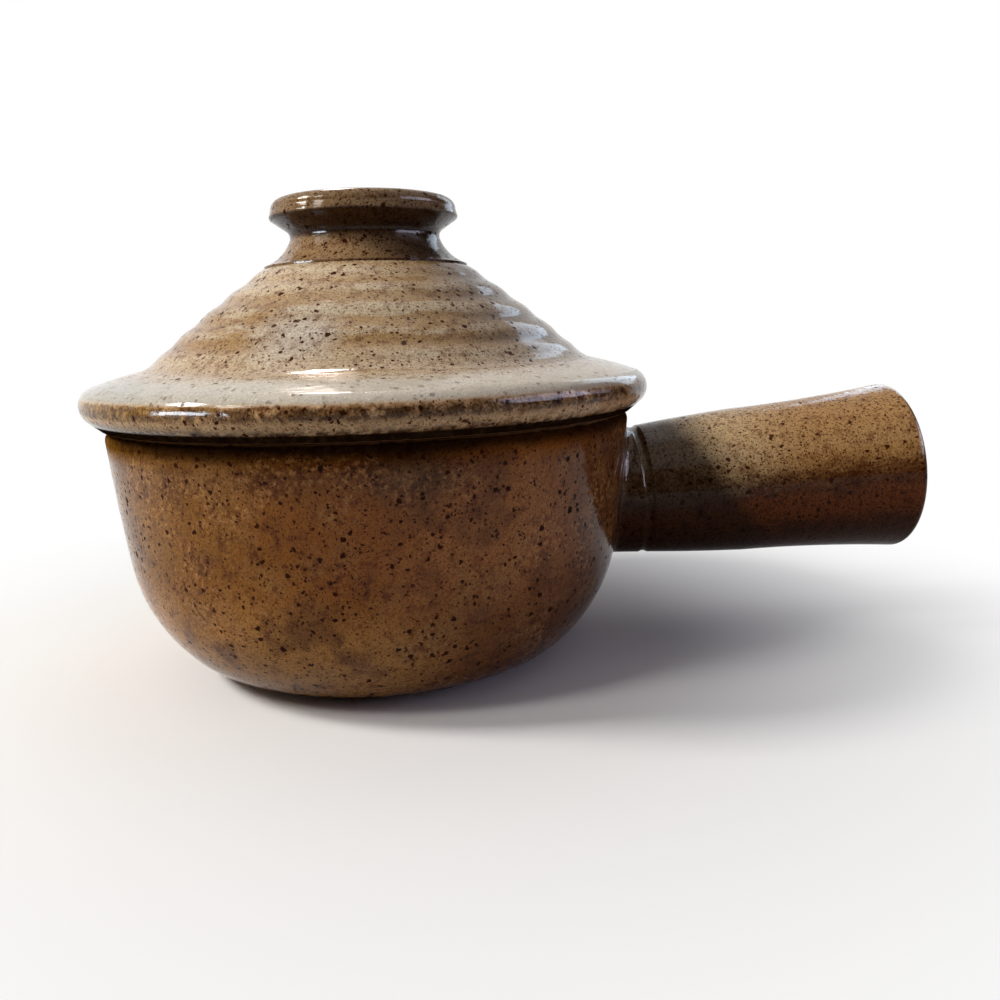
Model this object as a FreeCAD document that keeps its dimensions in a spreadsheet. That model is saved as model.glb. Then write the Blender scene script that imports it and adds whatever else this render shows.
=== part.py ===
import FreeCAD, Part
import os
import Sketcher

# Stoneware bean pot: a thrown bowl, a hollow stick handle luted to its side, and a
# conical lid with a rolled brim and a disc knob. Millimetres. Z is up, the origin is
# the middle of the foot on the table, and the handle points along X.

doc = FreeCAD.newDocument("BeanPot")
sheet = doc.addObject("Spreadsheet::Sheet", "Sizes")

# Driving dimensions

driving = {
    # bowl
    "foot_bevel": 0.9,
    "heel_width": 15.5,
    "heel_height": 9.0,
    "heel_radius": 26.5,
    "belly_radius": 50.0,
    "belly_top_radius": 76.6,
    "belly_top_height": 37.0,
    "rim_radius": 80.2,
    "rim_height": 76.7,
    "wall_bow": 700.0,
    "wall": 6.0,
    "floor_thickness": 7.1,
    "floor_corner_width": 17.0,
    "floor_corner_height": 8.1,
    "floor_round": 22.0,
    # lid
    "lid_rest_gap": 0.3,
    "flange_clearance": 2.0,
    "flange_depth": 9.5,
    "flange_thickness": 5.0,
    "brim_overhang": 6.0,
    "brim_roll": 5.3,
    "brim_roll_height": 6.8,
    "brim_top_angle": 70.0,
    "brim_under_angle": 50.0,
    "brim_crown": 100.0,
    "brim_width": 16.8,
    "brim_height": 15.6,
    "brim_cove": 12.0,
    "brim_cove_width": 4.8,
    "brim_cove_rise": 2.8,
    "cone_top_radius": 31.0,
    "cone_rise": 26.5,
    "cone_crown": 0.7,
    "ridge_pitch": 9.55,
    "first_groove": 6.4,
    "groove_width": 4.0,
    "groove_radius": 10.5,
    "lid_wall": 6.5,
    "lid_roof": 6.0,
    "roof_round": 8.0,
    "shoulder_round": 9.0,
    "shoulder_height": 6.0,
    # knob
    "knob_overhang": 0.2,
    "knob_foot_edge": 0.5,
    "knob_flare": 14.0,
    "knob_waist_radius": 23.0,
    "knob_waist_height": 8.4,
    "knob_cove": 2.6,
    "knob_cove_width": 1.3,
    "knob_cove_height": 3.0,
    "knob_shelf": 4.5,
    "knob_shelf_rise": 3.6,
    "knob_edge_round": 1.2,
    "knob_edge_turn": 37.0,
    "knob_band": 5.2,
    "knob_band_lean": 0.6,
    "knob_top_round": 3.2,
    "dish_land": 0.8,
    "dish_depth": 2.5,
    # handle, whose lengths run out from the widest line of the bowl
    "handle_drop": 33.0,
    "handle_rise": 3.2,
    "handle_sink": 24.0,
    "handle_start_radius": 18.6,
    "collar_length": 3.1,
    "collar_radius": 20.9,
    "collar_groove_width": 3.2,
    "collar_groove_round": 2.9,
    "handle_swell": 700.0,
    "handle_mid_length": 37.8,
    "handle_mid_radius": 23.7,
    "handle_flare": 520.0,
    "handle_length": 91.2,
    "handle_lip_radius": 27.2,
    "handle_wall": 4.6,
    "coil_fillet": 2.8,
}

# Sizes worked out from the driving dimensions

derived = {
    # rounded lip of the bowl
    "lip_round": "wall / 2",
    "lip_height": "rim_height - lip_round",
    # direction of the upper wall where it leaves the belly
    "wall_out": "rim_radius - belly_top_radius",
    "wall_up": "lip_height - belly_top_height",
    "wall_chord": "sqrt(wall_out ^ 2 + wall_up ^ 2)",
    "bow_sin": "wall_chord / (2 * wall_bow)",
    "bow_cos": "sqrt(1 - bow_sin ^ 2)",
    "lean_out": "(wall_out * bow_cos + wall_up * bow_sin) / wall_chord",
    "lean_up": "(wall_up * bow_cos - wall_out * bow_sin) / wall_chord",
    # circle of the belly, which meets the wall without a corner and ends at the heel
    "belly_centre_x": "belly_top_radius - belly_radius * lean_up",
    "belly_centre_z": "belly_top_height + belly_radius * lean_out",
    "belly_drop": "belly_centre_z - heel_height",
    "belly_start": "belly_centre_x + sqrt(belly_radius ^ 2 - belly_drop ^ 2)",
    "foot_radius": "belly_start - heel_width",
    # inside of the bowl
    "inner_top_x": "belly_top_radius - wall * lean_up",
    "inner_top_z": "belly_top_height + wall * lean_out",
    "inner_belly": "belly_radius - wall",
    "inner_heel_z": "floor_thickness + floor_corner_height",
    "inner_drop": "belly_centre_z - inner_heel_z",
    "inner_heel_x": "belly_centre_x + sqrt(inner_belly ^ 2 - inner_drop ^ 2)",
    "floor_radius": "inner_heel_x - floor_corner_width",
    # lid, from its seat on the rim
    "seat_height": "rim_height + lid_rest_gap",
    "brim_radius": "rim_radius + brim_overhang",
    "brim_inner_radius": "brim_radius - brim_width",
    "flange_radius": "rim_radius - wall - flange_clearance",
    "flange_round": "flange_thickness / 2",
    "roll_x": "brim_radius - brim_roll",
    "roll_z": "seat_height + brim_roll_height",
    "roll_top_x": "roll_x + brim_roll * cos(brim_top_angle)",
    "roll_top_z": "roll_z + brim_roll * sin(brim_top_angle)",
    "roll_under_x": "roll_x + brim_roll * cos(brim_under_angle)",
    "roll_under_z": "roll_z - brim_roll * sin(brim_under_angle)",
    "seat_edge": "roll_under_x - (roll_under_z - seat_height) * tan(brim_under_angle)",
    # cone of the lid, and the unit steps along it and square to it
    "cone_foot_radius": "brim_inner_radius - brim_cove_width",
    "cone_foot_z": "seat_height + brim_height + brim_cove_rise",
    "cone_in": "cone_foot_radius - cone_top_radius",
    "cone_length": "sqrt(cone_in ^ 2 + cone_rise ^ 2)",
    "cone_cos": "cone_in / cone_length",
    "cone_sin": "cone_rise / cone_length",
    "crest_radius": "groove_radius * (ridge_pitch - groove_width) / groove_width",
    # inside of the lid
    "inner_foot_x": "cone_foot_radius - lid_wall * cone_sin",
    "inner_foot_z": "cone_foot_z - lid_wall * cone_cos",
    "roof_height": "cone_foot_z + cone_rise - lid_roof",
    "roof_corner": "inner_foot_x - (roof_height - inner_foot_z) * cone_cos / cone_sin",
    "roof_cut": "roof_round * cone_sin / (1 + cone_cos)",
    # knob, from the top of the cone
    "knob_seat": "cone_foot_z + cone_rise",
    "knob_foot_radius": "cone_top_radius + knob_overhang",
    "knob_shelf_z": "knob_seat + knob_waist_height + knob_cove_height",
    "knob_edge_z": "knob_shelf_z + knob_shelf_rise",
    "knob_top": "knob_edge_z + knob_band",
    "knob_radius": "knob_waist_radius + knob_cove_width + knob_shelf",
    "knob_rim_radius": "knob_radius - knob_band_lean",
    "dish_radius": "knob_rim_radius - knob_top_round - dish_land",
    "dish_round": "(dish_radius ^ 2 + dish_depth ^ 2) / (2 * dish_depth)",
    # handle, along its own axis from the middle of the pot
    "handle_axis_height": "rim_height - handle_drop",
    "widest": "max(rim_radius; belly_centre_x + belly_radius)",
    "handle_start": "widest - handle_sink",
    "collar_reach": "widest + collar_length",
    "handle_mid_reach": "widest + handle_mid_length",
    "handle_reach": "widest + handle_length",
    "handle_lip_round": "handle_wall / 2",
    "handle_lip_start": "handle_reach - handle_lip_round",
    "collar_groove_end": "collar_reach + collar_groove_width",
    "collar_end_radius": "collar_radius + collar_groove_width * (handle_mid_radius - collar_radius)"
                         " / (handle_mid_reach - collar_reach)",
}


def fill_sheet():
    row = 1
    for alias, number in driving.items():
        sheet.set("A%d" % row, alias)
        sheet.set("B%d" % row, str(number))
        sheet.setAlias("B%d" % row, alias)
        row = row + 1
    for alias, formula in derived.items():
        sheet.set("A%d" % row, alias)
        sheet.set("B%d" % row, "=" + formula)
        sheet.setAlias("B%d" % row, alias)
        row = row + 1
    doc.recompute()


fill_sheet()


# Drawing outlines and turning them

def size(formula):
    """The number that a formula on the sheet's sizes gives."""
    return float(sheet.evalExpression(formula))


def bound(formula):
    """The same formula with each size written as the document's expressions want it."""
    words = []
    for word in formula.replace("(", "( ").replace(")", " )").split():
        words.append("Sizes." + word if word in driving or word in derived else word)
    return " ".join(words)


def origin_plane(body, role):
    for feature in body.Origin.OriginFeatures:
        if feature.Role == role:
            return feature
    raise ValueError("no origin plane " + role)


def arc_between(start, end, radius, side):
    """The shorter arc of a radius; side 1 bulges to the left of start to end, -1 to the right."""
    chord = end - start
    half = chord.Length / 2
    left = FreeCAD.Vector(-chord.y, chord.x, 0).normalize()
    sagitta = radius - (radius ** 2 - half ** 2) ** 0.5
    middle = (start + end) / 2 + left * (sagitta * side)
    return Part.Arc(start, middle, end)


def place_point(sketch, edge, end, label, across, up):
    """Hold one end of an edge at its two coordinates, each bound to the sheet."""
    for kind, axis, formula in (("DistanceX", -2, across), ("DistanceY", -1, up)):
        if formula == "0":
            sketch.addConstraint(Sketcher.Constraint("PointOnObject", edge, end, axis))
            continue
        number = size(formula)
        index = sketch.addConstraint(Sketcher.Constraint(kind, -1, 1, edge, end, number))
        name = label + ("_x" if kind == "DistanceX" else "_y")
        sketch.renameConstraint(index, name)
        sketch.setExpression("Constraints." + name, bound(formula))


def draw_outline(body, name, path):
    """A closed outline. Each step is (x, y) for a line, or (x, y, radius, side) for an
    arc, from that corner to the next one."""
    sketch = body.newObject("Sketcher::SketchObject", name)
    sketch.AttachmentSupport = (origin_plane(body, "XZ_Plane"), [""])
    sketch.MapMode = "FlatFace"
    corners = [FreeCAD.Vector(size(step[0]), size(step[1]), 0) for step in path]
    ends = []
    for index, step in enumerate(path):
        start = corners[index]
        end = corners[(index + 1) % len(path)]
        if len(step) == 2:
            edge = sketch.addGeometry(Part.LineSegment(start, end), False)
        else:
            edge = sketch.addGeometry(arc_between(start, end, size(step[2]), step[3]), False)
        gaps = [sketch.getPoint(edge, end).distanceToPoint(start) for end in (1, 2)]
        ends.append((edge, 1, 2) if gaps[0] < gaps[1] else (edge, 2, 1))
    for index, step in enumerate(path):
        edge, begin, finish = ends[index]
        before = ends[index - 1]
        sketch.addConstraint(Sketcher.Constraint("Coincident", before[0], before[2], edge, begin))
        place_point(sketch, edge, begin, "corner%d" % index, step[0], step[1])
        if len(step) == 4:
            number = sketch.addConstraint(Sketcher.Constraint("Radius", edge, size(step[2])))
            sketch.renameConstraint(number, "round%d" % index)
            sketch.setExpression("Constraints.round%d" % index, bound(step[2]))
    return sketch


def turned_body(label, axis, path):
    """A body turned from one outline, about the outline's own vertical or horizontal axis."""
    body = doc.addObject("PartDesign::Body", label)
    body.Label = label
    sketch = draw_outline(body, label + "_outline", path)
    turning = body.newObject("PartDesign::Revolution", label + "_turning")
    turning.Profile = sketch
    turning.ReferenceAxis = (sketch, [axis])
    turning.Angle = 360
    doc.recompute()
    return body


# Bowl

bowl_outside = turned_body("bowl_outside", "V_Axis", [
    ("0", "0"),
    ("foot_radius - foot_bevel", "0"),
    ("foot_radius", "foot_bevel", "heel_radius", -1),
    ("belly_start", "heel_height", "belly_radius", -1),
    ("belly_top_radius", "belly_top_height", "wall_bow", -1),
    ("rim_radius", "lip_height", "lip_round", -1),
    ("rim_radius - lip_round", "rim_height"),
    ("0", "rim_height"),
])

# The hollow opens upwards and takes the rim's inner half round away with it.
bowl_hollow = turned_body("bowl_hollow", "V_Axis", [
    ("0", "floor_thickness"),
    ("floor_radius", "floor_thickness", "floor_round", -1),
    ("inner_heel_x", "inner_heel_z", "inner_belly", -1),
    ("inner_top_x", "inner_top_z", "wall_bow - wall", -1),
    ("rim_radius - wall", "lip_height", "lip_round", 1),
    ("rim_radius - lip_round", "rim_height"),
    ("rim_radius - lip_round", "rim_height + lip_round"),
    ("0", "rim_height + lip_round"),
])

bowl = doc.addObject("Part::Cut", "bowl")
bowl.Label = "bowl"
bowl.Base = bowl_outside
bowl.Tool = bowl_hollow


# Handle: a tube turned about its own axis and cut to the curve of the bowl

handle_tube = turned_body("handle_tube", "H_Axis", [
    ("handle_start", "handle_start_radius"),
    ("collar_reach", "collar_radius", "collar_groove_round", -1),
    ("collar_groove_end", "collar_end_radius", "handle_swell", 1),
    ("handle_mid_reach", "handle_mid_radius", "handle_flare", -1),
    ("handle_lip_start", "handle_lip_radius", "handle_lip_round", 1),
    ("handle_reach", "handle_lip_radius - handle_lip_round", "handle_lip_round", 1),
    ("handle_lip_start", "handle_lip_radius - handle_wall", "handle_flare", 1),
    ("handle_mid_reach", "handle_mid_radius - handle_wall"),
    ("handle_start", "handle_start_radius - handle_wall"),
])
handle_tube.Placement = FreeCAD.Placement(
    FreeCAD.Vector(0, 0, size("handle_axis_height")),
    FreeCAD.Rotation(FreeCAD.Vector(0, -1, 0), size("handle_rise")))
handle_tube.setExpression("Placement.Base.z", "Sizes.handle_axis_height")
handle_tube.setExpression("Placement.Rotation.Angle", "Sizes.handle_rise")

handle = doc.addObject("Part::Cut", "handle")
handle.Label = "handle"
handle.Base = handle_tube
handle.Tool = bowl_outside
doc.recompute()


# Coil luted round the root of the handle, smoothed to a fillet between tube and bowl

def root_edges(joined):
    """Edges where the outside of the tube leaves the bowl, not those of its bore."""
    bore = size("handle_start_radius - handle_wall / 2")
    found = []
    for edge in joined.Edges:
        if edge.Length < 1:
            continue
        middle = edge.valueAt((edge.FirstParameter + edge.LastParameter) / 2)
        on_tube = handle_tube.Shape.distToShape(Part.Vertex(middle))[0] < 0.001
        on_bowl = bowl_outside.Shape.distToShape(Part.Vertex(middle))[0] < 0.001
        local = handle_tube.Placement.inverse().multVec(middle)
        outer = (local.y ** 2 + local.z ** 2) ** 0.5 > bore + size("handle_wall / 2")
        inside = local.x > size("handle_start") + 1
        if on_tube and on_bowl and outer and inside:
            found.append(edge)
    return found


joined = bowl_outside.Shape.fuse(handle_tube.Shape)
smoothed = joined.makeFillet(size("coil_fillet"), root_edges(joined))
handle_coil = doc.addObject("Part::Feature", "handle_coil")
handle_coil.Label = "handle_coil"
handle_coil.Shape = smoothed.cut(bowl_outside.Shape).cut(handle_tube.Shape)


# Lid

def cone_point(along):
    """A point of the cone's swelling line, at a distance up from the cone's foot."""
    swell = "4 * cone_crown * (%s) * (cone_length - (%s)) / cone_length ^ 2" % (along, along)
    across = "cone_foot_radius - (%s) * cone_cos + %s * cone_sin" % (along, swell)
    up = "cone_foot_z + (%s) * cone_sin + %s * cone_cos" % (along, swell)
    return across, up


def ridged_cone():
    """The throwing ridges from the top of the cone down: crests with a groove between each two."""
    grooves = int(size("(cone_length - first_groove - groove_width) / ridge_pitch")) + 1
    steps = []
    above = "cone_length"
    for index in reversed(range(grooves)):
        middle = "first_groove + %d * ridge_pitch" % index
        top = middle + " + groove_width / 2"
        bottom = middle + " - groove_width / 2"
        crest = "crest_radius * (%s - (%s)) / (ridge_pitch - groove_width)" % (above, top)
        steps.append(cone_point(above) + (crest, 1))
        steps.append(cone_point(top) + ("groove_radius", -1))
        above = "(" + bottom + ")"
    crest = "crest_radius * %s / (ridge_pitch - groove_width)" % above
    steps.append(cone_point(above) + (crest, 1))
    return steps


lid = turned_body("lid", "V_Axis", [
    ("0", "knob_seat"),
] + ridged_cone() + [
    ("cone_foot_radius", "cone_foot_z", "brim_cove", -1),
    ("brim_inner_radius", "seat_height + brim_height", "brim_crown", 1),
    ("roll_top_x", "roll_top_z", "brim_roll", 1),
    ("roll_x + brim_roll", "roll_z", "brim_roll", 1),
    ("roll_under_x", "roll_under_z"),
    ("seat_edge", "seat_height"),
    ("flange_radius", "seat_height"),
    ("flange_radius", "seat_height - flange_depth + flange_round", "flange_round", 1),
    ("flange_radius - flange_round", "seat_height - flange_depth", "flange_round", 1),
    ("flange_radius - flange_thickness", "seat_height - flange_depth + flange_round"),
    ("flange_radius - flange_thickness", "seat_height + shoulder_height", "shoulder_round", -1),
    ("inner_foot_x", "inner_foot_z"),
    ("roof_corner + roof_cut * cone_cos", "roof_height - roof_cut * cone_sin", "roof_round", -1),
    ("roof_corner - roof_cut", "roof_height"),
    ("0", "roof_height"),
])


# Knob, thrown on the flat top of the cone

knob = turned_body("knob", "V_Axis", [
    ("0", "knob_seat"),
    ("knob_foot_radius", "knob_seat"),
    ("knob_foot_radius", "knob_seat + knob_foot_edge", "knob_flare", 1),
    ("knob_waist_radius", "knob_seat + knob_waist_height", "knob_cove", 1),
    ("knob_waist_radius + knob_cove_width", "knob_shelf_z"),
    ("knob_radius - knob_edge_round * sin(knob_edge_turn)",
     "knob_edge_z - knob_edge_round * cos(knob_edge_turn)", "knob_edge_round", -1),
    ("knob_radius", "knob_edge_z"),
    ("knob_rim_radius", "knob_top - knob_top_round", "knob_top_round", -1),
    ("knob_rim_radius - knob_top_round", "knob_top"),
    ("dish_radius", "knob_top", "dish_round", 1),
    ("0", "knob_top - dish_depth"),
])
doc.recompute()


# Checks and export

nodes = [bowl, handle, handle_coil, lid, knob]

for item in doc.Objects:
    for state in item.State:
        if state in ("Invalid", "Error"):
            raise RuntimeError("%s did not rebuild: %s" % (item.Label, item.State))
    if item.TypeId == "Sketcher::SketchObject" and not item.FullyConstrained:
        raise RuntimeError("%s is not fully constrained" % item.Label)

os.makedirs("parts", exist_ok=True)
for node in nodes:
    shape = node.Shape
    if shape.isNull() or not shape.isValid() or len(shape.Solids) != 1:
        raise RuntimeError("%s is not one valid solid" % node.Label)
    shape.exportStep(os.path.join("parts", node.Label + ".step"))
    box = shape.optimalBoundingBox()
    print("%-12s %9.1f mm3  x %.1f..%.1f  y %.1f..%.1f  z %.1f..%.1f" % (
        node.Label, shape.Volume, box.XMin, box.XMax, box.YMin, box.YMax, box.ZMin, box.ZMax))
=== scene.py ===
import math

import bmesh
import bpy
from mathutils import Matrix, Vector

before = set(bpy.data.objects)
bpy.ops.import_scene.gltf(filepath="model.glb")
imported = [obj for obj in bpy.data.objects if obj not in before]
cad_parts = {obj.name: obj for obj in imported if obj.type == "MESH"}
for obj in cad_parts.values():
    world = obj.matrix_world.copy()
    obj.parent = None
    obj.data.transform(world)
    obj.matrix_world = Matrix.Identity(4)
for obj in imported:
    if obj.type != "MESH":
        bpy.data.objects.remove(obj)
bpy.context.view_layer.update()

# Stoneware bean pot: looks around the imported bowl, handle, lid and knob. Blender counts in
# metres. Patterns of the glaze and heights on the pot are worked out in millimetres.

MM = 0.001

# Where the photograph was taken from, in millimetres and degrees
CAMERA_PLACE = (19.73, -289.46, 101.36)
CAMERA_YAW, CAMERA_PITCH, CAMERA_ROLL = 3.88, 10.70, 1.71
SENSOR_WIDTH = 36.0
FOCAL_LENGTH = 32.14

# Heights on the pot where one surface goes over into the next: where it begins, where it is done
RIM_BARE = (76.0, 76.4)
FOOT_BARE = (0.75, 0.55)
SEAT_BARE = (77.10, 77.04)
BRIM_TOP = (92.4, 90.2)
ROLL_TOP = (86.5, 85.7)
ROLL_UNDERSIDE = (79.4, 78.8)

# Throwing ridges of the lid: the height of one crest, and from crest to crest
RIDGE_CREST = 102.35
RIDGE_PITCH = 5.91

GLAZE_ROUGHNESS = 0.08
GLAZE_IOR = 1.5
GLAZE_SHEEN = 0.13

WHITE = (1.0, 1.0, 1.0, 1.0)


def place_camera():
    yaw, pitch, roll = (math.radians(angle) for angle in (CAMERA_YAW, CAMERA_PITCH, CAMERA_ROLL))
    ahead = Vector((math.sin(yaw) * math.cos(pitch), math.cos(yaw) * math.cos(pitch),
                    -math.sin(pitch)))
    level = Vector((math.cos(yaw), -math.sin(yaw), 0.0))
    below = ahead.cross(level)
    right = math.cos(roll) * level + math.sin(roll) * below
    down = -math.sin(roll) * level + math.cos(roll) * below
    lens = bpy.data.cameras.new("camera")
    lens.sensor_width = SENSOR_WIDTH
    lens.lens = FOCAL_LENGTH
    lens.clip_start = 0.01
    camera = bpy.data.objects.new("camera", lens)
    turned = Matrix((right, -down, -ahead)).transposed().to_4x4()
    camera.matrix_world = Matrix.Translation(Vector(CAMERA_PLACE) * MM) @ turned
    bpy.context.scene.collection.objects.link(camera)
    bpy.context.scene.camera = camera


place_camera()


# Shader formulas

class Wire:
    """A socket that takes part in sums, so that a pattern reads as a formula."""

    def __init__(self, finish, socket):
        self.finish = finish
        self.socket = socket

    def beside(self, name):
        """Another output of the same node."""
        return Wire(self.finish, self.socket.node.outputs[name])

    def reckon(self, operation, *values):
        return self.finish.node("ShaderNodeMath", {"operation": operation}, dict(enumerate(values)))

    def __add__(self, other):
        return self.reckon("ADD", self, other)

    def __radd__(self, other):
        return self.reckon("ADD", other, self)

    def __sub__(self, other):
        return self.reckon("SUBTRACT", self, other)

    def __rsub__(self, other):
        return self.reckon("SUBTRACT", other, self)

    def __mul__(self, other):
        return self.reckon("MULTIPLY", self, other)

    def __rmul__(self, other):
        return self.reckon("MULTIPLY", other, self)

    def larger(self, other):
        return self.reckon("MAXIMUM", self, other)

    def exceeds(self, other):
        """1 where the value is greater than the other, else 0."""
        return self.reckon("GREATER_THAN", self, other)

    def cosine(self):
        return self.reckon("COSINE", self)

    def stirred(self, pattern, amount):
        """The value moved up and down by a pattern about 0.5, by half the amount at most."""
        return self + (pattern - 0.5) * amount


def tone(red, green, blue):
    """A colour as seen on a screen, 0 to 255, in the linear values that shaders take."""
    linear = []
    for part in (red, green, blue):
        part = part / 255
        linear.append(part / 12.92 if part <= 0.04045 else ((part + 0.055) / 1.055) ** 2.4)
    return (*linear, 1.0)


class Finish:
    """One material, or the room's light, under construction."""

    def __init__(self, name, tree=None):
        if tree is None:
            self.material = bpy.data.materials.new(name)
            self.material.use_nodes = True
            tree = self.material.node_tree
        self.nodes = tree.nodes
        self.links = tree.links
        self.nodes.clear()

    def node(self, kind, settings=None, sockets=None, output=0):
        made = self.nodes.new(kind)
        for name, value in (settings or {}).items():
            setattr(made, name, value)
        for name, value in (sockets or {}).items():
            if isinstance(value, Wire):
                self.links.new(value.socket, made.inputs[name])
            else:
                made.inputs[name].default_value = value
        return Wire(self, made.outputs[output]) if made.outputs else made

    def vector(self, operation, *values):
        return self.node("ShaderNodeVectorMath", {"operation": operation}, dict(enumerate(values)))

    def scaled(self, vector, *factors):
        return self.vector("MULTIPLY", vector, factors if len(factors) == 3 else factors * 3)

    def place(self):
        """Where a point of the piece is, in millimetres."""
        spot = self.node("ShaderNodeTexCoord", output="Object")
        return self.scaled(spot, 1 / MM)

    def across_and_up(self, place):
        """How far a point lies towards the handle, and how high."""
        across = self.node("ShaderNodeSeparateXYZ", sockets={0: place})
        return across, across.beside("Z")

    def distance(self, place, centre):
        return self.vector("DISTANCE", place, centre).beside("Value")

    def noise(self, place, size, detail=2.0, rough=0.5):
        """Cloudy pattern about 0.5, with lumps about as wide as size in millimetres."""
        return self.node("ShaderNodeTexNoise", None, {
            "Vector": place, "Scale": 1 / size, "Detail": detail, "Roughness": rough})

    def between(self, value, low, high):
        """0 where the value is at low, 1 where it is at high, and smooth from one to the other."""
        return self.node("ShaderNodeMapRange", {"interpolation_type": "SMOOTHSTEP"}, {
            "Value": value, "From Min": low, "From Max": high})

    def band(self, value, start, full, still_full, end):
        """Rises from 0 at start to 1 at full, stays there and is back at 0 at end."""
        return self.between(value, start, full) * self.between(value, end, still_full)

    def mix(self, share, first, second, blend="MIX"):
        return self.node("ShaderNodeMix", {"data_type": "RGBA", "blend_type": blend}, {
            0: share, 6: first, 7: second}, 2)

    def spots(self, place, cell, small, large, share, soft=0.35):
        """Round spots with radii from small to large, one in a share of the cells, which are
        cell millimetres wide. 1 inside a spot, and 0 outside its soft edge."""
        near = self.node("ShaderNodeTexVoronoi", None, {"Vector": place, "Scale": 1 / cell}, "Distance")
        chance = self.node("ShaderNodeSeparateColor", sockets={0: near.beside("Color")})
        radius = self.node("ShaderNodeMapRange", {"clamp": False}, {
            "Value": chance, "From Min": 1 - share, "From Max": 1.0, "To Min": small, "To Max": large})
        radius = radius * chance.exceeds(1 - share)
        return self.between(near * cell, radius + 0.02, radius * (1 - soft))

    def seen(self):
        """1 for what the camera and reflections see, 0 for the light that falls on the pot."""
        path = self.node("ShaderNodeLightPath", output="Is Camera Ray")
        return path.larger(path.beside("Is Glossy Ray")).larger(path.beside("Is Transmission Ray"))

    def finish(self, shader):
        self.node("ShaderNodeOutputMaterial", None, {"Surface": shader})
        return self.material


def iron_spots(finish, place, fine=1.0, middle=1.0, large=1.0, grit=1.0, dust=0.3):
    """Iron in the clay that bleeds through the glaze: pepper, spots and a few big blots. fine,
    middle, large and dust say how strong each kind is, grit how coarse the pepper is."""
    ragged = finish.noise(place, 1.25, 5.0).beside("Color")
    bent = finish.vector("MULTIPLY_ADD", ragged, (1.7, 1.7, 1.7), place)
    crowd = finish.between(finish.noise(place, 9.0), 0.34, 0.62)
    pepper = finish.spots(bent, cell=0.70 * grit, small=0.08 * grit, large=0.24 * grit, share=0.85)
    pepper = pepper * ((0.30 + crowd * 0.35) * fine)
    powder = finish.between(finish.noise(bent, 0.5 * grit, 2.0, 0.6), 0.56, 0.70) * dust
    dots = finish.spots(bent, cell=1.45, small=0.12, large=0.52, share=0.9)
    dots = dots * ((0.50 + crowd * 0.45) * middle)
    stains = finish.spots(bent, cell=2.9, small=0.28, large=0.90, share=0.8) * middle
    blots = finish.spots(bent, cell=7.0, small=0.6, large=1.30, share=0.6, soft=0.5) * large
    return pepper.larger(powder), dots.larger(stains), blots


def glaze(name, look_of, bare_of=None, rings=(0.05, 0.05, 1.0), **speckle):
    """A glossy speckled stoneware glaze. look_of gives its ground colour, how far milky glaze
    veils the iron, and how dull it is. bare_of gives the share of the surface that the potter
    wiped clean. rings stretches the wheel marks, and speckle goes to iron_spots."""
    finish = Finish(name)
    place = finish.place()
    ground, veil, dull = look_of(finish, place)
    pepper, dots, blots = iron_spots(finish, place, **speckle)

    # Fine grain and wider clouds in the ground colour
    grain = finish.noise(place, 0.6, 3.0, 0.7)
    clouds = finish.noise(place, 3.0, 4.0, 0.62)
    plain = 1 - veil * 0.7
    grain_dark = finish.between(grain, 0.50, 0.30) * 0.80 * plain
    grain_light = finish.between(grain, 0.52, 0.74) * 0.80
    clouds_dark = finish.between(clouds, 0.52, 0.28) * 0.70 * plain
    ground = finish.mix(grain_dark, ground, tone(170, 130, 96), "MULTIPLY")
    ground = finish.mix(grain_light, ground, (1.6, 1.5, 1.4, 1.0), "MULTIPLY")
    ground = finish.mix(clouds_dark, ground, tone(160, 116, 80), "MULTIPLY")

    # Iron, with rusty halos round it
    rust = finish.mix(1.0, ground, tone(140, 76, 32), "MULTIPLY")
    halo = finish.between(pepper.larger(dots).larger(blots), 0.0, 0.45)
    colour = finish.mix(halo * 0.8 * (1 - veil * 0.75), ground, rust)
    dark = finish.between(dots, 0.3, 0.95).larger(finish.between(pepper, 0.5, 1.0) * 0.8)
    colour = finish.mix(dark * 0.93 * (1 - veil * 0.6), colour, tone(52, 22, 4))
    colour = finish.mix(finish.between(blots, 0.25, 0.8) * 0.97 * plain, colour, tone(38, 15, 3))

    # Wheel marks, the skin of the glaze and dimples where the iron lies
    wheel = finish.noise(finish.scaled(place, *rings), 2.2, 3.0, 0.55)
    skin = finish.noise(place, 4.5, 1.0)
    rough = GLAZE_ROUGHNESS + finish.noise(place, 9.0) * 0.06 + dots * 0.08
    height = (wheel - 0.5) * 0.12 + (skin - 0.5) * 0.10 - dots * 0.015 - blots * 0.04

    if bare_of:
        bare = bare_of(finish, place)
        sand = finish.noise(place, 0.35, 3.0, 0.7)
        clay = finish.mix(sand, tone(128, 88, 58), tone(186, 146, 106))
        clay = finish.mix(finish.between(dots, 0.3, 0.95) * 0.7, clay, tone(70, 42, 26))
        colour = finish.mix(bare, colour, clay)
        dull = bare.larger(dull)
        height = height + (sand - 0.5) * bare * 0.12

    normal = finish.node("ShaderNodeBump", None, {"Height": height, "Distance": MM, "Strength": 1.0})
    wet = finish.node("ShaderNodeBsdfPrincipled", None, {
        "Base Color": colour, "Roughness": rough, "Normal": normal, "IOR": GLAZE_IOR,
        "Specular IOR Level": GLAZE_SHEEN})
    earth = finish.node("ShaderNodeBsdfDiffuse", None, {"Color": colour, "Normal": normal})
    iron = dark.larger(blots) * 0.85
    return finish.finish(finish.node("ShaderNodeMixShader", None, {
        0: iron.larger(dull), 1: wet, 2: earth}))


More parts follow.
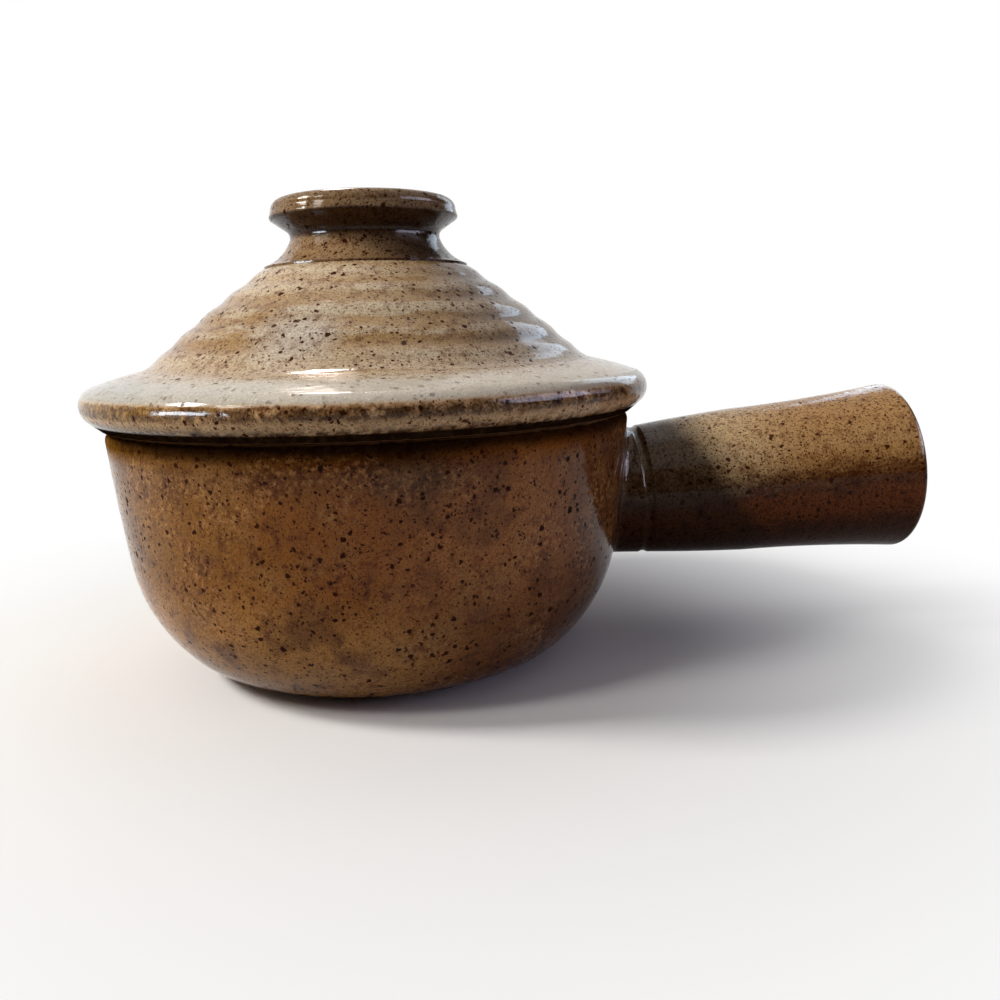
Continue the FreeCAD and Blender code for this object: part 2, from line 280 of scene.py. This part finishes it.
def bowl_look(finish, place):
    """Golden olive on the left, caramel in front, with painted shade on the right and round the foot, and
    a painted shadow under the brim and the rim.
    """
    across, up = finish.across_and_up(place)
    cloud = finish.noise(place, 34.0, 3.0, 0.55)
    side = finish.between(across.stirred(cloud, 60.0), -88.0, -42.0)
    ground = finish.mix(side, tone(150, 107, 34), tone(158, 92, 28))
    west = finish.between(across.stirred(cloud, 40.0), -2.0, -52.0)
    ground = finish.mix(west * 0.65, ground, tone(142, 102, 32))

    # Paler glaze low on the belly, and in one pool in front
    low = finish.between(up.stirred(cloud, 30.0), 44.0, 22.0) * finish.between(across, 40.0, 0.0)
    ground = finish.mix(low * 0.9, ground, tone(214, 152, 78))
    pool = finish.distance(place, (30.0, -70.0, 46.0)).stirred(cloud, 40.0)
    ground = finish.mix(finish.between(pool, 42.0, 10.0) * 0.65, ground, tone(196, 130, 74))

    # Painted shade: darker on the lower right, beside the handle and round the foot
    painted_shade_right = finish.between(across.stirred(cloud, 30.0), -4.0, 56.0) * finish.between(up, 48.0, 20.0)
    ground = finish.mix(painted_shade_right * 0.75, ground, tone(92, 52, 22))
    ground = finish.mix(finish.between(across, 44.0, 70.0) * 0.75, ground, tone(92, 60, 40))
    ground = finish.mix(finish.between(up, 17.0, 4.0) * 0.35, ground, tone(92, 50, 22))

    # Painted shadow of the brim of the lid on the bowl, and one darker patch there
    painted_brim_shadow = finish.between(up.stirred(cloud, 10.0), 60.0, 69.0) * finish.between(across, 40.0, 22.0) * side
    ground = finish.mix(painted_brim_shadow * 0.46, ground, tone(70, 38, 16))
    dark_patch = finish.distance(place, (14.0, -78.0, 68.0)).stirred(cloud, 20.0)
    ground = finish.mix(finish.between(dark_patch, 17.0, 4.0) * 0.55, ground, tone(58, 32, 16))

    # Pale and dark clouds, and patches of small pale flecks
    wide = finish.noise(place, 13.0)
    ground = finish.mix(finish.between(wide, 0.48, 0.72) * 0.45, ground, tone(176, 128, 72))
    ground = finish.mix(finish.between(wide, 0.48, 0.28) * 0.6, ground, tone(104, 58, 26))
    flecks = finish.between(finish.noise(place, 1.5, 4.0, 0.65), 0.48, 0.64)
    patches = finish.between(finish.noise(place, 20.0), 0.48, 0.62)
    ground = finish.mix(flecks * patches * 0.45, ground, tone(214, 156, 96))

    # Painted shadow of the lid along the top of the bowl, below the rim
    painted_rim_shadow = finish.between(up.stirred(wide, 4.0), 71.0, 75.0)
    ground = finish.mix(painted_rim_shadow * (side * 0.6 + 0.3), ground, tone(44, 26, 13))
    return ground, 0.0, finish.between(up, 67.0, 73.6)


def bowl_bare(finish, place):
    """The top of the rim, where the lid rests, and the foot."""
    _, up = finish.across_and_up(place)
    edge = up.stirred(finish.noise(place, 6.0), 0.5)
    return finish.between(edge, *RIM_BARE) + finish.between(edge, *FOOT_BARE)


def handle_look(finish, place):
    """Painted light along the top and towards the end, painted shade below, a dark line along the middle
    that is a painted reflection, and a painted shadow of the lid near the pot.
    """
    across, up = finish.across_and_up(place)
    cloud = finish.noise(place, 22.0, 3.0, 0.55)
    streak = finish.noise(finish.scaled(place, 0.16, 1.0, 1.0), 2.2, 4.0, 0.7)
    crumbs = finish.noise(place, 0.9, 3.0, 0.7)
    height = (up - (across - 114.0) * 0.065 - 11.6).stirred(cloud, 5.0)
    height = height.stirred(streak, 12.0).stirred(crumbs, 12.0)
    # Painted light: the top of the handle paler than its lower half, as if lit from above
    top = finish.between(height, 36.0, 49.0)
    ground = finish.mix(top, tone(128, 70, 32), tone(178, 136, 84))
    # A painted reflection: a dark line along the middle of the handle
    middle = finish.band(height, 34.0, 38.0, 40.0, 47.0)
    ground = finish.mix(middle * 0.6, ground, tone(60, 30, 12))
    # Painted shade along the underside of the handle
    painted_shade_below = finish.between(height, 29.0, 24.0)
    ground = finish.mix(painted_shade_below * 0.6, ground, tone(50, 24, 10))
    # Painted light on the top of the handle towards its end
    pale = finish.between(across, 138.0, 104.0) * top
    ground = finish.mix(pale * 0.75, ground, tone(226, 198, 150))
    # Painted shadow of the lid across the handle near the pot
    painted_lid_shadow = finish.between((across + (up - 60.0) * 0.72).stirred(cloud, 6.0), 107.0, 99.0)
    ground = finish.mix(painted_lid_shadow * 0.8, ground, tone(72, 46, 28))
    return ground, 0.0, finish.between(height, 46.0, 32.0) * 0.6


def lid_look(finish, place):
    """Milky on the ridges, the skirt and the brim, brown in the hollows and on the roll. Painted light on
    the crests and low on the roll, painted shade on the right and under the roll.
    """
    across, up = finish.across_and_up(place)
    cloud = finish.noise(place, 30.0, 3.0, 0.55)
    crest = ((up - RIDGE_CREST) * (2 * math.pi / RIDGE_PITCH)).cosine() * 0.5 + 0.5
    streaks = finish.noise(finish.scaled(place, 0.16, 0.16, 1.0), 3.0, 3.0, 0.6)
    # Milky glaze in streaks, drawn a little onto the crests of the ridges as painted light on them
    milk = finish.between(streaks.stirred(crest, 0.26), 0.46, 0.68)
    left = finish.between(across.stirred(cloud, 60.0), -20.0, -62.0)
    right = finish.between(across.stirred(cloud, 40.0), 0.0, 50.0)

    # The cone, from side to side
    ground = finish.mix(milk, tone(170, 138, 92), tone(198, 180, 150))
    ground = finish.mix(left * (1 - milk * 0.5) * 0.8, ground, tone(164, 122, 66))
    # Painted shade on the right of the cone, darkest in the hollows
    ground = finish.mix(right * (1 - crest) * 0.9, ground, tone(92, 64, 40))
    ground = finish.mix(right * crest * 0.45, ground, tone(142, 114, 86))

    # Its peak, with painted light on the left and the knob's painted shadow on the right, and one milky
    # cloud in front
    peak = finish.between(up, 109.0, 116.0)
    ground = finish.mix(peak * finish.between(across, 26.0, -4.0) * 0.5, ground, tone(216, 194, 162))
    ground = finish.mix(peak * finish.between(across, 18.0, 34.0) * 0.5, ground, tone(104, 76, 54))
    milky = finish.distance(place, (-15.0, -57.0, 101.0)).stirred(cloud, 16.0)
    ground = finish.mix(finish.between(milky, 17.0, 3.0) * 0.6, ground, tone(206, 200, 190))

    # Skirt and brim
    skirt = finish.between(up.stirred(streaks, 5.0), 99.5, 95.5)
    ground = finish.mix(skirt * 0.5, ground, tone(214, 196, 168))
    brim = finish.between(up.stirred(streaks, 2.0), *BRIM_TOP)
    pearl = finish.mix(left, tone(210, 203, 190), tone(182, 181, 173))
    pearl = finish.mix(right * 0.6, pearl, tone(204, 192, 170))
    ground = finish.mix(brim * 0.88, ground, pearl)

    # The roll, from an amber line at its top to a scorched lower edge
    patch = finish.noise(place, 4.0, 3.0, 0.6)
    blotch = finish.noise(place, 2.4, 3.0, 0.6)
    height = up.stirred(patch, 1.2)
    ground = finish.mix(finish.between(height, 87.1, 86.2) * 0.6, ground, tone(214, 180, 136))
    roll = finish.between(height, *ROLL_TOP)
    rolled = finish.mix(finish.between(patch, 0.38, 0.62), tone(156, 114, 70), tone(222, 180, 132))
    olive = finish.mix(finish.between(blotch, 0.40, 0.60), tone(112, 80, 34), tone(176, 138, 76))
    ground = finish.mix(roll * 0.95, ground, finish.mix(left * 0.85, rolled, olive))
    line = finish.band(height, 82.0, 83.4, 84.9, 86.0) * (1 - left * 0.7)
    ground = finish.mix(line * finish.between(blotch, 0.66, 0.42) * 0.85, ground, tone(74, 46, 24))
    # Painted light: a pale band low on the roll, for light thrown up from the floor
    painted_bounce_light = finish.band(height, 79.0, 80.2, 81.4, 82.8)
    ground = finish.mix(painted_bounce_light * 0.75, ground, tone(244, 206, 156))
    scorch = finish.between(height, 81.0, 79.2) * finish.between(blotch, 0.44, 0.56)
    ground = finish.mix(scorch * 0.85, ground, tone(70, 40, 18))
    # Painted shade on the underside of the roll, which is also its dull part
    under = finish.between(up, *ROLL_UNDERSIDE)
    return finish.mix(under * 0.95, ground, tone(34, 20, 10)), brim * (1 - roll), under


def lid_bare(finish, place):
    """The flange and the seat that lies on the rim."""
    _, up = finish.across_and_up(place)
    return finish.between(up, *SEAT_BARE)


def knob_look(finish, place):
    """Tan, with painted shade under the disc round the waist, and most of it on the right, where the
    disc's shadow is painted.
    """
    across, up = finish.across_and_up(place)
    cloud = finish.noise(place, 16.0, 3.0, 0.55)
    height = up.stirred(cloud, 1.6)
    ground = finish.mix(cloud, tone(118, 92, 62), tone(158, 130, 94))
    # Painted shade under the disc, round the top of the waist
    waist = finish.band(height, 129.0, 131.5, 136.2, 137.2)
    ground = finish.mix(waist * 0.85, ground, tone(58, 34, 16))
    foot = finish.between(height, 131.0, 127.0)
    ground = finish.mix(foot * 0.9, ground, tone(160, 130, 94))
    # Painted shadow of the disc on the right of the waist
    turned = finish.between(across + (122.0 - up) * 0.6, -8.0, 16.0) * finish.between(height, 135.0, 131.0)
    ground = finish.mix(turned * 0.8, ground, tone(46, 30, 20))
    seam = finish.between(up.stirred(cloud, 0.6), 122.9, 122.2)
    return finish.mix(seam * 0.4, ground, tone(90, 56, 30)), 0.0, 0.0


looks = {
    "bowl": glaze("bowl_glaze", bowl_look, bowl_bare, fine=1.5),
    "handle": glaze("handle_glaze", handle_look, rings=(1.0, 0.05, 0.05),
                    fine=3.4, middle=0.8, large=0.2, grit=1.4, dust=0.9),
    "lid": glaze("lid_glaze", lid_look, lid_bare, fine=1.3, middle=0.9, large=0.6),
    "knob": glaze("knob_glaze", knob_look, fine=2.6, large=0.3, grit=1.3, dust=0.7),
}
looks["handle_coil"] = looks["handle"]

for name, material in looks.items():
    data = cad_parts[name].data
    data.materials.clear()
    data.materials.append(material)


# Light, each lamp turned to the middle of the pot. Name, direction in which it stands, how far
# off, width and height in metres, watts, colour

LAMPS = (
    ("key", (-0.763, -0.067, 0.643), 1.3, 0.26, 0.26, 12.5, (1.0, 0.97, 0.92)),
    ("front_key", (-0.65, -0.406, 0.643), 1.3, 0.24, 0.24, 4.5, (1.0, 0.97, 0.93)),
    ("overhead", (-0.12, 0.25, 1.0), 1.4, 1.0, 0.8, 1.8, (0.97, 0.98, 1.0)),
    ("window_right", (0.95, -0.20, 0.25), 1.1, 1.2, 0.26, 2.4, (0.80, 0.76, 1.0)),
)

# Windows and a lamp that the glaze mirrors, and that add no light of their own
GLINTS = (
    ("window_left", (-0.91, -0.37, 0.17), 1.0, 0.42, 0.20, 15.0, (0.80, 0.90, 1.0)),
    ("window_far_right", (0.89, -0.26, 0.36), 1.1, 0.80, 0.44, 12.0, (0.80, 0.78, 1.0)),
    ("window_back", (0.62, 0.70, 0.45), 1.1, 0.40, 0.50, 1.9, (0.66, 0.82, 1.0)),
    ("ceiling_lamp", (-0.16, 0.62, 0.78), 1.2, 0.13, 0.26, 5.0, (1.0, 0.86, 0.80)),
)

LAMPS_AIM = (0.0, 0.0, 0.07)


def soft_light(name, toward, distance, width, height, watts, colour):
    lamp = bpy.data.lights.new(name, "AREA")
    lamp.shape = "RECTANGLE"
    lamp.size = width
    lamp.size_y = height
    lamp.energy = watts
    lamp.color = colour
    holder = bpy.data.objects.new(name, lamp)
    aim = Vector(LAMPS_AIM)
    holder.location = aim + Vector(toward).normalized() * distance
    holder.rotation_euler = (holder.location - aim).to_track_quat("Z", "Y").to_euler()
    bpy.context.scene.collection.objects.link(holder)
    return holder


for lamp_values in LAMPS:
    soft_light(*lamp_values)
for lamp_values in GLINTS:
    soft_light(*lamp_values).visible_diffuse = False


# Floor and background

FLOOR_WIDTH = 12.0
FLOOR_FADE = (85.0, 270.0)  # millimetres from the middle of the pot, from paper to plain white

WALL_RADIUS = 2.0
WALL_HEIGHT = 1.7
WALL_START = 0.25
WALL_SWEEP = 225.0
WALL_FACES = 24

ROOM_LIGHT = 0.22


def make_floor():
    bpy.ops.mesh.primitive_plane_add(size=FLOOR_WIDTH, location=(0.0, 0.0, 0.0))
    floor = bpy.context.object
    floor.name = "floor"
    finish = Finish("floor_white")
    far = finish.between(finish.distance(finish.place(), (0.0, 0.0, 0.0)), *FLOOR_FADE)
    seen = finish.seen()
    pale = finish.mix(seen, tone(150, 150, 150), tone(247, 247, 247))
    paper = finish.node("ShaderNodeBsdfDiffuse", None, {"Color": pale})
    glow = finish.node("ShaderNodeEmission", None, {"Color": WHITE, "Strength": 1.0})
    shader = finish.node("ShaderNodeMixShader", None, {0: far * seen, 1: paper, 2: glow})
    floor.data.materials.append(finish.finish(shader))


def make_dark_wall():
    """The unlit side of the studio, round behind the camera, as the glaze sees it."""
    form = bmesh.new()
    post = [form.verts.new((-WALL_RADIUS, WALL_START, height)) for height in (0.0, WALL_HEIGHT)]
    rail = form.edges.new(post)
    bmesh.ops.spin(form, geom=[*post, rail], cent=(0.0, 0.0, 0.0), axis=(0.0, 0.0, 1.0),
                   angle=math.radians(WALL_SWEEP), steps=WALL_FACES, use_duplicate=False)
    mesh = bpy.data.meshes.new("dark_wall")
    form.to_mesh(mesh)
    form.free()
    wall = bpy.data.objects.new("dark_wall", mesh)
    bpy.context.scene.collection.objects.link(wall)
    wall.visible_camera = False
    finish = Finish("wall_grey")
    shade = finish.node("ShaderNodeBsdfDiffuse", None, {"Color": tone(50, 48, 48)})
    mesh.materials.append(finish.finish(shade))


def light_room():
    """White as far as the camera and reflections see, and dim as a light."""
    world = bpy.data.worlds.new("room")
    bpy.context.scene.world = world
    world.use_nodes = True
    finish = Finish("room", world.node_tree)
    strength = ROOM_LIGHT + finish.seen() * (1.0 - ROOM_LIGHT)
    sky = finish.node("ShaderNodeBackground", None, {"Color": WHITE, "Strength": strength})
    finish.node("ShaderNodeOutputWorld", None, {"Surface": sky})


make_floor()
make_dark_wall()
light_room()

bpy.context.scene.view_settings.view_transform = "Standard"
